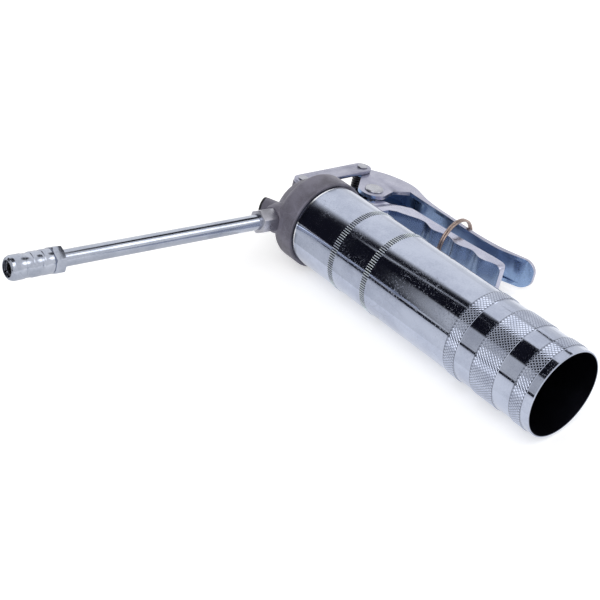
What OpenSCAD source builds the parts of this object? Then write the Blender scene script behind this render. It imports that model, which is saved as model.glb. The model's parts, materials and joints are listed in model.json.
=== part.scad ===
// One-hand lever grease applicator for a screw-in cartridge. It lies on its side as it comes to rest.
// Every piece is drawn in the gun's own axes: x runs along the barrel from the head's skirt to the open
// end, y runs from the barrel towards the lever, and z is square to the plane that the lever swings in.
// lay_down() then rolls the gun on to its side and puts its underside at height zero.

/* [Barrel] */
// Outside diameter of the barrel tube
barrel_d = 56; // [52:0.5:60]
// Wall thickness of the barrel tube
barrel_wall = 1; // [0.8:0.1:1.6]
// Length of the tube that shows in front of the skirt
barrel_len = 205.5; // [190:0.5:240]
// Depth of the tube inside the skirt
barrel_seat = 8; // [6:0.5:9]
// How far the knurled bands stand out of the tube
band_height = 0.25; // [0.1:0.05:0.5]
// Width of the wide knurled band
wide_band = 18; // [10:0.5:20]
// Width of each narrow knurled band
narrow_band = 9; // [6:0.5:10]
// Distance from the open end to the middle of the wide band
wide_band_back = 36; // [34:0.5:40]
// Distance between the middles of neighbouring bands
band_step = 26; // [24:0.5:30]

/* [Head casting] */
// Outside radius of the skirt that holds the tube
skirt_r = 30; // [29.5:0.1:32]
// Length of the skirt
skirt_len = 13; // [11:0.5:15]
// Rounding of the skirt's closed end
shoulder = 5; // [3:0.5:6]
// Radius of the crosswise pump housing
housing_r = 10; // [9.5:0.1:11]
// Distance of the pump bore in front of the skirt's open edge
pump_back = 19; // [18.5:0.1:21]
// How far the housing reaches on the side of the delivery pipe
outlet_reach = 30.2; // [30:0.2:34]
// How far the housing reaches on the side of the lever
gland_reach = 36; // [34:0.5:38]
// Radius of the threaded socket that takes the cartridge's neck
neck_r = 16.5; // [14:0.5:18]
// Wall thickness of the collar round that socket
collar_wall = 4; // [3:0.5:5]
// Height of that collar inside the barrel
collar_out = 4; // [2:0.5:8]
// Depth of the socket behind the skirt's open edge
socket_deep = 12; // [10:0.5:12]
// Radius of the feed hole from the socket to the pump bore
feed_r = 3; // [2:0.25:3.5]
// Radius of the round end of the lug that carries the link
foot_r = 6.6; // [6:0.1:8]
// Radius of the vent boss in front of the pump housing
vent_boss_r = 6; // [5:0.1:7]
// Length of the vent boss from the pump's axis
vent_reach = 18.2; // [17:0.2:22]
// Distance from the barrel's axis to the vent boss, towards the outlet
vent_drop = 15.3; // [12:0.1:16]
// Turn of the vent boss from straight ahead towards the outlet
vent_turn = 25; // [0:1:30]

/* [Pump and outlet] */
// Radius of the plunger
plunger_r = 4; // [3:0.1:4.4]
// Running clearance round the plunger
run_fit = 0.04; // [0.02:0.01:0.08]
// Distance from the barrel's axis to the plunger's inner end
plunger_tip = 11; // [9:0.5:11.5]
// Radius of the gland's thread
gland_r = 6; // [5.8:0.1:6.4]
// Thickness of the gland's hexagon
gland_head = 4; // [3:0.5:5]
// Size of the gland's hexagon across its flats
gland_flats = 14; // [13:0.5:14]
// Height of the plunger's rubber seal
seal_h = 3; // [2:0.25:4]
// Distance from the barrel's axis to the outlet valve's seat
valve_seat = 15; // [14.5:0.25:17]
// Radius of the hole in the valve's seat
seat_r = 2; // [1.6:0.1:2.2]
// Radius of the check ball
ball_r = 3; // [2.9:0.1:3.2]
// Wire radius of the valve spring
valve_wire = 0.3; // [0.2:0.05:0.4]
// Number of turns of the valve spring
valve_turns = 4; // [3:1:6]

/* [Delivery pipe and coupler] */
// Outside radius of the delivery pipe
pipe_r = 5; // [4.5:0.1:5.4]
// Bore radius of the delivery pipe
pipe_bore_r = 2.5; // [1.75:0.05:2.6]
// Length of the pipe between the locknut and the coupler
pipe_len = 143.5; // [100:0.5:200]
// Depth of the pipe's thread in the head and in the coupler
pipe_thread = 5; // [4:0.5:5.5]
// Size of the pipe's locknut across its flats
nut_flats = 14; // [13:0.5:16]
// Thickness of the locknut
nut_len = 11.5; // [8:0.5:14]
// Size of the coupler's hexagon across its flats
coupler_flats = 15; // [14:0.5:18]
// Length of the coupler's hexagon
coupler_hex_len = 6.5; // [6:0.5:12]
// Radius of the coupler's round body
coupler_r = 7.4; // [7:0.1:8.5]
// Length of the coupler's round body
coupler_len = 27; // [24:0.5:32]
// Radius of the coupler's mouth
mouth_r = 5; // [4.8:0.1:5.4]
// Length of the coupler's mouth
mouth_len = 1.5; // [1:0.25:2]
// Radius of the grease nipple that the jaws hold
nipple_r = 3.2; // [3:0.05:3.4]
// Length of each jaw
jaw_len = 8; // [6:0.5:9]
// Travel of the jaws against their spring
jaw_travel = 1.2; // [0.8:0.1:2]

/* [Lever and links] */
// Distance from the pump bore to the link's pin in the head
link_out = 24; // [22:0.5:25]
// Distance from the barrel's axis to the link's pin in the head
link_foot = 13.7; // [12:0.1:15]
// Distance from the pump bore to the lever's front pin
front_out = 26.7; // [26:0.1:28]
// Distance from the barrel's axis to the lever's front pin
front_up = 69.8; // [68:0.2:71]
// Distance from the barrel's axis to the plunger's pin
plunger_pin_up = 57.5; // [56:0.5:58]
// Half width of each link plate
link_r = 6.2; // [5.6:0.1:6.6]
// Thickness of each link plate
link_t = 2.5; // [2:0.1:2.8]
// Radius of the link's pins
link_pin_r = 2.5; // [2:0.1:3]
// Sheet thickness of the lever
lever_t = 2.5; // [1.6:0.1:2.5]
// Half width of the lever at its pins
lever_half = 8.5; // [8.5:0.1:8.8]
// Half width of the lever at its grip
grip_half = 10; // [9.6:0.1:11]
// Length of the lever behind the skirt's open edge
lever_len = 103; // [99:1:110]
// Radius of the plunger's pin
plunger_pin_r = 2.8; // [2.4:0.1:3]
// Radius of that pin's flat head
disc_r = 6.4; // [5:0.1:7]
// Clearance of parts that slide or turn past each other
side_gap = 0.3; // [0.2:0.05:0.4]

/* [Fixed handle] */
// Sheet thickness of the fixed handle
handle_t = 2; // [1.4:0.1:2.2]
// Half width of the handle at the head
handle_neck = 5.7; // [5.4:0.1:5.7]
// Half width of the handle at its grip
handle_half = 9.8; // [9:0.1:10.2]
// Length of the handle behind the skirt's open edge
handle_len = 97; // [90:1:104]
// Spacing of the finger grooves
groove_step = 20.6; // [19:0.2:22]
// Depth of the finger grooves
groove_deep = 3.4; // [1:0.1:4]
// Radius of the handle's rivets
rivet_r = 2; // [1.5:0.1:2.5]

/* [Spring and lock ring] */
// Wire radius of the lever's return spring
spring_wire = 0.85; // [0.6:0.05:0.85]
// Mean radius of its coil
spring_r = 4.3; // [4:0.1:5]
// Number of turns of its coil
spring_turns = 5; // [3:1:6]
// Inside radius of the lock ring
ring_r = 16.2; // [16:0.1:17.5]
// Radius of the lock ring's wire
ring_wire = 0.8; // [0.6:0.05:1]
// Distance of the lock ring behind the skirt's open edge
ring_at = 50; // [49:1:66]
// Lean of the lock ring
ring_lean = -8; // [-12:1:12]

/* [Hidden] */
round_fn = 96;
small_fn = 48;
fit = 0.05;
edge = 0.6;
vent_depth = 8.5;
plug_head = 1.5;
thread_step = 0.5;
gasket_t = 1;
barrel_r = barrel_d / 2;
wide_band_x = barrel_len - wide_band_back;
pump_x = -pump_back;
front_face = pump_x - housing_r + shoulder / 2;
collar_r = neck_r + collar_wall;
link_foot_at = [pump_x - link_out, link_foot];
front_pin_at = [pump_x - front_out, front_up];
plunger_pin_at = [pump_x, plunger_pin_up];
nut_face = -outlet_reach - side_gap;
pipe_face = nut_face - nut_len;
hex_face = pipe_face - pipe_len;
sleeve_face = hex_face - coupler_hex_len;
mouth_face = sleeve_face - coupler_len;
gland_floor = gland_reach - 12;
lever_inner = lever_half - lever_t;
link_in = lever_half + side_gap;
link_outer = link_in + link_t;
lug_half = lever_half;
lever_back = 91;
ear_half = handle_neck - handle_t - fit;

// Side view of the lever's outer back, from its front pin to the tip
lever_knots = [
    [front_pin_at[0] + 1, front_up + link_r + 1.8], [-36, 84.6], [-27, 88.6], [-18, lever_back - 0.2],
    [-10, 90.4], [-2, 87.8], [8, 84.4], [24, 81.8], [44, 80.8], [62, 81], [78, 83.2], [91, 87.4],
    [lever_len, lever_back]
];
// Side view of the handle's web, seen from the barrel: a ramp and then the finger grooves
groove_from = 31.4;
groove_base = 55;
groove_rise = 0.07;
function web_y(x) = groove_base + groove_rise * (x - groove_from)
    + groove_deep / 2 * cos(360 * (x - groove_from) / groove_step);

// The lock ring bears on the lower edges of the lever and the handle, where its lean takes it to them
ring_shift = ring_r * 0.7 * tan(ring_lean);
ring_side_x = [-2 * ring_wire, 0, 2 * ring_wire];
ring_low = min([for (dx = ring_side_x) web_y(ring_at - ring_shift + dx)]);
ring_high = max([for (dx = ring_side_x) lookup(ring_at + ring_shift + dx, lever_knots)]);
ring_mid = (ring_low + ring_high) / 2;
ring_out = ring_r + 2 * ring_wire;
ring_side = sqrt(pow(ring_r - side_gap, 2) - pow((ring_high - ring_low) / 2 / cos(ring_lean), 2)) - grip_half;
// The roll at which the skirt and the lock ring touch the same surface
rest_roll = asin((skirt_r - ring_out) / norm([ring_mid, ring_side])) + atan2(ring_side, ring_mid);
front_end = front_pin_at[0] - link_r;
side_lo = mouth_face * cos(rest_roll);
side_hi = lever_back * cos(rest_roll) + grip_half * sin(rest_roll);
rest_place = [-(barrel_len + front_end) / 2, -(side_lo + side_hi) / 2, skirt_r];

module lay_down() {
    translate(rest_place) rotate([-rest_roll, 0, 0]) children();
}

// A solid of revolution round the x axis, from points of [x, radius]
module turned_x(points) {
    rotate([0, 90, 0]) rotate_extrude($fn = round_fn)
        polygon([for (p = points) [p[1], p[0]]]);
}

// A solid of revolution round the pump's axis, from points of [y, radius]
module turned_y(points) {
    translate([pump_x, 0, 0]) rotate([-90, 0, 0]) rotate_extrude($fn = round_fn)
        polygon([for (p = points) [p[1], p[0]]]);
}

// A round pin or hole through the lever's plane, centred on it
module cross_pin(at, r, half) {
    translate([at[0], at[1], -half]) cylinder(r = r, h = 2 * half, $fn = small_fn);
}

// A hexagon bar on the pump's axis with its corners turned off at both ends
module hex_bar(flats, y_from, y_to) {
    corner = flats / sqrt(3);
    intersection() {
        translate([pump_x, y_to, 0]) rotate([90, 0, 0])
            rotate([0, 0, 30]) cylinder(r = corner, h = y_to - y_from, $fn = 6);
        turned_y([
            [y_from, 0], [y_from, flats / 2], [y_from + (corner - flats / 2) / 2, corner],
            [y_to - (corner - flats / 2) / 2, corner], [y_to, flats / 2], [y_to, 0]
        ]);
    }
}

// Points of an arc, from angle a to angle b in n steps
function arc(centre, r, a, b, n) =
    [for (i = [0:n]) centre + r * [cos(a + (b - a) * i / n), sin(a + (b - a) * i / n)]];

// Points of a smooth curve that passes through the given knots
function curve(knots, n) = [
    for (k = [0:len(knots) - 2]) for (i = [0:n - 1])
        let (
            p0 = knots[max(k - 1, 0)],
            p1 = knots[k],
            p2 = knots[k + 1],
            p3 = knots[min(k + 2, len(knots) - 1)],
            t = i / n
        )
        (2 * p1 + (p2 - p0) * t + (2 * p0 - 5 * p1 + 4 * p2 - p3) * t * t
            + (3 * p1 - p0 - 3 * p2 + p3) * t * t * t) / 2,
    knots[len(knots) - 1]
];

// A round wire swept along a list of points in space
module wire(path, r, sides) {
    n = len(path);
    points = [
        for (i = [0:n - 1])
            let (
                d = path[min(i + 1, n - 1)] - path[max(i - 1, 0)],
                w = d / norm(d),
                s = abs(w[2]) > 0.9 ? [1, 0, 0] : [0, 0, 1],
                u = cross(w, s) / norm(cross(w, s)),
                v = cross(w, u)
            )
            for (k = [0:sides - 1])
                path[i] + r * (cos(360 * k / sides) * u + sin(360 * k / sides) * v)
    ];
    walls = [
        for (i = [0:n - 2]) for (k = [0:sides - 1])
            [
                i * sides + k, (i + 1) * sides + k,
                (i + 1) * sides + (k + 1) % sides, i * sides + (k + 1) % sides
            ]
    ];
    first = [for (k = [0:sides - 1]) k];
    last = [for (k = [0:sides - 1]) (n - 1) * sides + sides - 1 - k];
    polyhedron(points, concat([first], walls, [last]), convexity = 10);
}

// Points of a helix along the pump's axis
function helix_y(r, y_from, y_to, turns, steps) = [
    for (i = [0:turns * steps])
        [
            pump_x + r * cos(360 * i / steps),
            y_from + (y_to - y_from) * i / (turns * steps),
            r * sin(360 * i / steps)
        ]
];

function band_profile(x, width) = [
    [x - width / 2 - band_height, barrel_r],
    [x - width / 2, barrel_r + band_height],
    [x + width / 2, barrel_r + band_height],
    [x + width / 2 + band_height, barrel_r]
];

// The cartridge tube, thicker where it screws into the skirt
module barrel_tube() {
    color([0.78, 0.8, 0.84]) lay_down() turned_x(concat(
        [[-barrel_seat, barrel_r - barrel_wall - thread_step], [-barrel_seat, barrel_r]],
        band_profile(wide_band_x - band_step, narrow_band),
        band_profile(wide_band_x, wide_band),
        band_profile(wide_band_x + band_step, narrow_band),
        [
            [barrel_len - barrel_wall / 3, barrel_r],
            [barrel_len, barrel_r - barrel_wall / 3],
            [barrel_len, barrel_r - barrel_wall],
            [collar_out + thread_step, barrel_r - barrel_wall],
            [collar_out, barrel_r - barrel_wall - thread_step]
        ]
    ));
}

module skirt() {
    turned_x(concat(
        [[front_face, 0], [front_face, skirt_r - shoulder - 4]],
        [
            for (a = [0:15:90])
                [-skirt_len - shoulder * cos(a), skirt_r - shoulder + shoulder * sin(a)]
        ],
        [
            [-edge, skirt_r], [0, skirt_r - edge], [0, barrel_r + fit], [-barrel_seat, barrel_r + fit],
            [-barrel_seat, collar_r], [collar_out, collar_r], [collar_out, 0]
        ]
    ));
}

// The housing of the pump, with a round rim at each end
module pump_housing() {
    turned_y([
        [-outlet_reach, 0], [-outlet_reach, housing_r - 2], [-outlet_reach + 1.5, housing_r - 0.8],
        [-outlet_reach + 6, housing_r], [gland_reach - 5, housing_r], [gland_reach - 1, housing_r - 0.6],
        [gland_reach, housing_r - 1.6], [gland_reach, 0]
    ]);
}

// The lug in front of the housing that the link plates swing on
module link_lug() {
    cross_pin(link_foot_at, foot_r, lug_half);
    linear_extrude(2 * lug_half, center = true) polygon([
        [link_foot_at[0] + 1, link_foot + foot_r], [front_face + 2, link_foot + foot_r + lug_rise],
        [front_face + 2, link_foot - foot_r - lug_rise], [link_foot_at[0] + 1, link_foot - foot_r]
    ]);
}

// Sets what is built along z on the line of the vent boss, with z = 0 on the pump's axis
module on_vent_line() {
    translate([pump_x, -vent_drop, 0]) rotate([0, 0, vent_turn]) rotate([0, -90, 0]) children();
}

lug_rise = 6;

// The lug on the skirt's side that the fixed handle is riveted to
module handle_ear() {
    linear_extrude(2 * ear_half, center = true) polygon([
        [-skirt_len, barrel_r], [-edge, barrel_r], [-edge, ear_top - 3],
        [-edge - 3, ear_top], [ear_from, ear_top], [ear_from, skirt_r]
    ]);
}
ear_from = pump_x + 9;
ear_top = skirt_r + 18;
rivet_at = [[-5.4, skirt_r + 4.4], [-6.4, skirt_r + 13.4]];

module pump_bore() {
    turned_y([
        [gland_reach + 1, 0], [gland_reach + 1, gland_r + fit], [gland_floor, gland_r + fit],
        [gland_floor, plunger_r + run_fit], [-valve_seat, plunger_r + run_fit], [-valve_seat, seat_r],
        [-valve_seat - 1, seat_r], [-valve_seat - 1, chamber_r], [port_floor, chamber_r],
        [port_floor, pipe_r + fit], [-outlet_reach - 1, pipe_r + fit], [-outlet_reach - 1, 0]
    ]);
}
chamber_r = ball_r + 1;
port_floor = -outlet_reach + pipe_thread - side_gap;

module head_casting() {
    color([0.45, 0.44, 0.45]) lay_down() difference() {
        union() {
            skirt();
            pump_housing();
            link_lug();
            on_vent_line() cylinder(r = vent_boss_r, h = vent_reach, $fn = small_fn);
            handle_ear();
        }
        turned_x([
            [-socket_deep - gasket_t, 0], [-socket_deep - gasket_t, neck_r - 1 + fit],
            [-socket_deep, neck_r - 1 + fit], [-socket_deep, neck_r], [collar_out + 1, neck_r],
            [collar_out + 1, 0]
        ]);
        pump_bore();
        rotate([0, -90, 0]) cylinder(r = feed_r, h = pump_back, $fn = small_fn);
        cross_pin(link_foot_at, link_pin_r + fit, lug_half + 1);
        for (at = rivet_at) cross_pin(at, rivet_r + fit, ear_half + 1);
        on_vent_line() translate([0, 0, vent_reach - vent_depth])
            cylinder(r = vent_boss_r - 2 + fit, h = vent_depth + 1, $fn = small_fn);
        turned_x([
            [-barrel_seat, collar_r], [-barrel_seat, barrel_r + fit], [1, barrel_r + fit], [1, collar_r]
        ]);
    }
}

module cartridge_gasket() {
    color([0.1, 0.1, 0.1]) lay_down() turned_x([
        [-socket_deep - gasket_t, feed_r + 4], [-socket_deep - gasket_t, neck_r - 1],
        [-socket_deep, neck_r - 1], [-socket_deep, feed_r + 4]
    ]);
}

module vent_plug() {
    color([0.12, 0.12, 0.13]) lay_down() on_vent_line() difference() {
        translate([0, 0, vent_reach - vent_depth]) union() {
            translate([0, 0, 2 * side_gap])
                cylinder(r = vent_boss_r - 2, h = vent_depth, $fn = small_fn);
            translate([0, 0, vent_depth + 2 * fit])
                cylinder(r = vent_boss_r - 2 * fit, h = plug_head, $fn = small_fn);
        }
        translate([0, 0, vent_reach - 1]) cylinder(r = 2, h = 2 * plug_head, $fn = 6);
    }
}

module plunger() {
    flat = 3.4;
    color([0.72, 0.73, 0.76]) lay_down() difference() {
        union() {
            turned_y([
                [-plunger_tip, 0], [-plunger_tip, plunger_r - 0.5], [-plunger_tip + 0.5, plunger_r],
                [plunger_pin_up - 6, plunger_r], [plunger_pin_up - 6, 0]
            ]);
            intersection() {
                cross_pin(plunger_pin_at, plunger_r + 2, flat);
                translate([pump_x - 10, plunger_pin_up - 7, -flat]) cube([20, 20, 2 * flat]);
            }
            intersection() {
                turned_y([
                    [plunger_pin_up - 7, 0], [plunger_pin_up - 7, plunger_r],
                    [plunger_pin_up, plunger_r], [plunger_pin_up, 0]
                ]);
                translate([pump_x - 10, plunger_pin_up - 7, -flat]) cube([20, 7, 2 * flat]);
            }
        }
        cross_pin(plunger_pin_at, plunger_pin_r + side_gap, plunger_r + 1);
    }
}

module plunger_gland() {
    top = gland_reach + gland_head;
    color([0.6, 0.6, 0.62]) lay_down() difference() {
        union() {
            hex_bar(gland_flats, gland_reach, top);
            turned_y([
                [gland_floor + seal_h, 0], [gland_floor + seal_h, gland_r],
                [gland_reach + 1, gland_r], [gland_reach + 1, 0]
            ]);
        }
        turned_y([
            [gland_floor, 0], [gland_floor, plunger_r + run_fit],
            [top + 1, plunger_r + run_fit], [top + 1, 0]
        ]);
    }
}

module plunger_seal() {
    color([0.1, 0.1, 0.1]) lay_down() turned_y([
        [gland_floor, plunger_r + run_fit], [gland_floor, gland_r], [gland_floor + seal_h, gland_r],
        [gland_floor + seal_h, plunger_r + run_fit + 1], [gland_floor + seal_h - 1, plunger_r + run_fit]
    ]);
}

// The ball rests on the rim of the seat's hole
ball_y = -valve_seat - 1 - sqrt(ball_r * ball_r - seat_r * seat_r) - fit;

module outlet_valve_ball() {
    color([0.8, 0.8, 0.82]) lay_down() translate([pump_x, ball_y, 0]) sphere(r = ball_r, $fn = small_fn);
}

module outlet_valve_spring() {
    coil_r = pipe_bore_r + valve_wire - fit;
    under_ball = ball_y - sqrt(ball_r * ball_r - coil_r * coil_r) - valve_wire - fit;
    color([0.6, 0.6, 0.6]) lay_down() wire(
        helix_y(coil_r, pipe_end + valve_wire + fit, under_ball, valve_turns, 16), valve_wire, 6);
}
pipe_end = port_floor - fit;

module pipe_locknut() {
    color([0.7, 0.7, 0.72]) lay_down() difference() {
        hex_bar(nut_flats, pipe_face, nut_face);
        turned_y([
            [pipe_face - 1, 0], [pipe_face - 1, pipe_r + fit], [nut_face + 1, pipe_r + fit], [nut_face + 1, 0]
        ]);
    }
}

module delivery_pipe() {
    far = hex_face - pipe_thread;
    color([0.75, 0.77, 0.8]) lay_down() turned_y([
        [pipe_end, pipe_bore_r], [pipe_end, pipe_r - edge], [pipe_end - edge, pipe_r],
        [far + edge, pipe_r], [far, pipe_r - edge], [far, pipe_bore_r]
    ]);
}

coupler_stud_r = coupler_r - 1.6;
jaw_tip = mouth_face + mouth_len + side_gap / 2;
jaw_seal_len = 3;
jaw_spring_turns = 4;
// The spring's room: its wires pressed together, the jaws' travel and what is left over
jaw_spring_room = 2 * valve_wire * (jaw_spring_turns + 1) + jaw_travel + 2;
stud_face = jaw_tip + jaw_len + fit + jaw_seal_len + jaw_spring_room;

module coupler_base() {
    color([0.7, 0.71, 0.74]) lay_down() difference() {
        union() {
            hex_bar(coupler_flats, sleeve_face, hex_face);
            turned_y([
                [stud_face, 0], [stud_face, coupler_stud_r - edge], [stud_face + edge, coupler_stud_r],
                [sleeve_face + 1, coupler_stud_r], [sleeve_face + 1, 0]
            ]);
        }
        turned_y([
            [hex_face + 1, 0], [hex_face + 1, pipe_r + fit], [hex_face - pipe_thread - fit, pipe_r + fit],
            [hex_face - pipe_thread - fit, pipe_bore_r], [stud_face - 1, pipe_bore_r], [stud_face - 1, 0]
        ]);
    }
}

// Inside of the sleeve: the jaws close as they are pushed along its cone
jaw_out_r = mouth_r + 0.9;
cone_len = 4;

module coupler_sleeve() {
    groove = 0.35;
    far = mouth_face;
    color([0.72, 0.73, 0.76]) lay_down() turned_y([
        [sleeve_face, coupler_stud_r + fit], [sleeve_face, coupler_r - edge],
        [sleeve_face - edge, coupler_r], [sleeve_face - 6, coupler_r],
        [sleeve_face - 6.3, coupler_r - groove],
        [sleeve_face - 8, coupler_r - groove], [sleeve_face - 8.3, coupler_r],
        [sleeve_face - 13, coupler_r], [sleeve_face - 13.3, coupler_r - groove],
        [sleeve_face - 18, coupler_r - groove], [sleeve_face - 18.3, coupler_r],
        [far + 2.6, coupler_r], [far + 0.8, coupler_r - 0.8], [far, coupler_r - 2],
        [far, mouth_r], [far + mouth_len, mouth_r], [far + mouth_len + cone_len, jaw_out_r],
        [stud_face - fit, jaw_out_r], [stud_face - fit, coupler_stud_r + fit]
    ]);
}

module coupler_jaws() {
    tip_r = mouth_r - fit * 2;
    back = jaw_tip + jaw_len;
    color([0.3, 0.3, 0.32]) lay_down() difference() {
        turned_y([
            [jaw_tip, nipple_r], [jaw_tip, tip_r - 0.2], [jaw_tip + cone_len, jaw_out_r - 3 * fit],
            [back, jaw_out_r - 3 * fit], [back, nipple_r + 0.4], [jaw_tip + 3, nipple_r + 0.4],
            [jaw_tip + 2, nipple_r]
        ]);
        for (a = [0, 90]) translate([pump_x, jaw_tip + jaw_len / 2, 0]) rotate([0, 45 + a, 0])
            cube([2 * coupler_r, jaw_len + 2, 0.8], center = true);
    }
}

module coupler_seal() {
    back = jaw_tip + jaw_len + fit;
    color([0.1, 0.1, 0.1]) lay_down() turned_y([
        [back, pipe_bore_r], [back, jaw_out_r - 4 * fit], [back + jaw_seal_len, jaw_out_r - 4 * fit],
        [back + jaw_seal_len, pipe_bore_r]
    ]);
}

module coupler_spring() {
    low = jaw_tip + jaw_len + jaw_seal_len + 2 * fit + valve_wire;
    color([0.6, 0.6, 0.6]) lay_down() wire(
        helix_y(nipple_r + 0.8, low, stud_face - valve_wire - fit, jaw_spring_turns, 16), valve_wire, 6);
}

// Side view of the edge of the lever's cheeks, from the tip back to the lug
cheek_knots = [
    [lever_len, lever_back - 2], [94, 85.6], [85, 81.4], [76, 78.6], [60, 77.4], [43, 77.6], [22, 78.8],
    [6, 80.2], [-7.6, 81.4]
];
cheek_r = 10.6;
lug_knots = [[-9, 78], [-12, 71.5], [-10.6, 64.5], [pump_x + cheek_r, plunger_pin_up]];

module lever_side(inset) {
    polygon(concat(
        [for (p = curve(lever_knots, 4)) p - [0, inset]],
        inset > 0
            ? [[lever_len + 1, lever_back - inset], [lever_len + 1, 30], [-60, 30], [-60, front_up + 7]]
            : concat(
                curve(cheek_knots, 3),
                curve(lug_knots, 3),
                arc(plunger_pin_at, cheek_r, -10, -137, 10),
                curve([[-36.6, 61.2], [-38.6, 63.8], [front_pin_at[0] + link_r - 0.4, front_up - 1]], 3),
                arc(front_pin_at, link_r - 0.2, -20, -270, 14)
            )
    ));
}

// Half width of the lever along its length, as an outline seen from above its back
module lever_plan(inset) {
    tip = inset > 0 ? lever_len + 5 : lever_len;
    corner = inset > 0 ? 0.1 : grip_half - 1.5;
    widen = 30;
    upper = concat(
        [[-60, lever_half - inset], [-4, lever_half - inset], [widen, grip_half - inset]],
        arc([tip - corner, grip_half - inset - corner], corner, 90, 8, 9)
    );
    polygon(concat(upper, [for (i = [len(upper) - 1:-1:0]) [upper[i][0], -upper[i][1]]]));
}

module lever() {
    reach = 2 * lever_back;
    color([0.68, 0.69, 0.73]) lay_down() difference() {
        intersection() {
            linear_extrude(4 * grip_half, center = true) lever_side(0);
            rotate([-90, 0, 0]) linear_extrude(reach) lever_plan(0);
        }
        intersection() {
            linear_extrude(4 * grip_half, center = true) lever_side(lever_t);
            rotate([-90, 0, 0]) linear_extrude(reach) lever_plan(lever_t);
        }
        cross_pin(front_pin_at, link_pin_r + fit, 2 * lever_half);
        cross_pin(plunger_pin_at, plunger_pin_r + fit, 2 * lever_half);
    }
}

module link_plate(z_from) {
    span = front_pin_at - link_foot_at;
    lean = atan2(span[1], span[0]);
    translate([0, 0, z_from]) difference() {
        linear_extrude(link_t) polygon(concat(
            arc(link_foot_at, link_r, lean + 90, lean + 270, 20),
            arc(front_pin_at, link_r, lean - 90, lean + 90, 20)
        ));
        for (at = [link_foot_at, front_pin_at]) translate([at[0], at[1], -1])
            cylinder(r = link_pin_r + fit, h = link_t + 2, $fn = small_fn);
    }
}

module link_plate_near() {
    color([0.68, 0.69, 0.73]) lay_down() link_plate(link_in);
}

module link_plate_far() {
    color([0.68, 0.69, 0.73]) lay_down() link_plate(-link_outer);
}

// A rivet through both link plates, with a low head at each end
module link_rivet(at) {
    head = 0.8;
    cross_pin(at, link_pin_r, link_outer + 0.2);
    for (side = [-1, 1]) translate([at[0], at[1], side * (link_outer + fit + head / 2)])
        cylinder(r = link_pin_r + 0.9, h = head, center = true, $fn = small_fn);
}

module link_head_pin() {
    color([0.66, 0.67, 0.7]) lay_down() link_rivet(link_foot_at);
}

module link_lever_pin() {
    color([0.66, 0.67, 0.7]) lay_down() link_rivet(front_pin_at);
}

module plunger_pin() {
    top = lever_half + fit;
    color([0.72, 0.73, 0.76]) lay_down() translate([plunger_pin_at[0], plunger_pin_at[1], 0]) difference() {
        rotate_extrude($fn = small_fn) polygon([
            [0, -top - 2.4], [plunger_pin_r - 0.4, -top - 2.4], [plunger_pin_r, -top - 2],
            [plunger_pin_r, top], [disc_r, top], [disc_r, top + 0.7], [disc_r - 0.5, top + 1.2],
            [0, top + 1.2]
        ]);
        translate([0, 0, -top - 1.5]) difference() {
            cylinder(r = plunger_pin_r + 1, h = 0.9);
            cylinder(r = plunger_pin_r - 0.6, h = 0.9);
        }
    }
}

module plunger_pin_clip() {
    low = lever_half + fit;
    color([0.3, 0.3, 0.32]) lay_down() translate([plunger_pin_at[0], plunger_pin_at[1], -low - 1.4])
        difference() {
            cylinder(r = plunger_pin_r + 1.8, h = 0.7, $fn = small_fn);
            cylinder(r = plunger_pin_r - 0.6 + fit, h = 3, center = true, $fn = small_fn);
            translate([0, -1.7, -1]) cube([10, 3.4, 3]);
        }
}

module return_spring() {
    pitch = 2 * spring_wire + 0.12;
    steps = 20;
    extra = 8;
    height = pitch * (spring_turns + extra / steps);
    start = 90;
    coil = [
        for (i = [0:spring_turns * steps + extra])
            [
                front_pin_at[0] + spring_r * cos(start - 360 * i / steps),
                front_up + spring_r * sin(start - 360 * i / steps),
                height / 2 - pitch * i / steps
            ]
    ];
    last = coil[len(coil) - 1];
    foot_x = front_face - 4 * spring_wire;
    foot = [foot_x, lug_edge(foot_x) + spring_wire + 1.5 * side_gap, last[2]];
    leg_x = coil[0][0] + 5 * spring_r;
    back_leg = [
        [leg_x, lever_under(leg_x), coil[0][2]],
        [coil[0][0] + spring_r + spring_wire, coil[0][1] + spring_wire / 2, coil[0][2]]
    ];
    color([0.08, 0.08, 0.08]) lay_down() wire(concat(back_leg, coil, [foot]), spring_wire, 8);
}
// Height of the sloping edge of the head's lug, on the lever's side
function lug_edge(x) = link_foot + foot_r
    + lug_rise * (x - link_foot_at[0] - 1) / (front_face + 1 - link_foot_at[0]);
// Height of the line just under the lever's back, near its front
function lever_under(x) = let (
    a = lever_knots[0],
    b = lever_knots[2],
    s = (x - a[0]) / (b[0] - a[0])
) a[1] + (b[1] - a[1]) * s - lever_t - spring_wire - 1.7;

handle_from = pump_x + sqrt(housing_r * housing_r - pow(handle_neck - handle_t, 2)) + side_gap;
// The ramp in front of the finger grooves
web_ramp = [[8.5, 46], [12, 47.4], [17, 49.6], [22, 52.6], [27, 55.6]];
handle_back = [
    [handle_len, 65.4], [handle_len - 2.4, 67.4], [88, 68], [74, 66.6], [58, 65], [42, 64], [28, 63.1],
    [15, 62.2], [5, 60.6], [-3, 58.2], [-8, 56.2], [handle_from, 53.4]
];

// With an inset it is the space behind the web, open in front so that the cheeks straddle the head's ear
module handle_side(inset) {
    web = concat(curve(web_ramp, 3), [for (x = [29:2:handle_len - 2]) [x, web_y(x)]]);
    end = [handle_len, web_y(handle_len) + 1];
    polygon(inset > 0
        ? concat(
            [for (p = web) p + [0, inset]],
            [
                [handle_len - inset, end[1] + inset], [handle_len - inset, lever_back], [-30, lever_back],
                [-30, 0], [web[0][0] + 1, 0]
            ]
        )
        : concat(
            web, [end], curve(handle_back, 3),
            [[handle_from, skirt_r + 1.2], [6, skirt_r + 1.2], [8, skirt_r + 3.4]]
        ));
}

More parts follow.
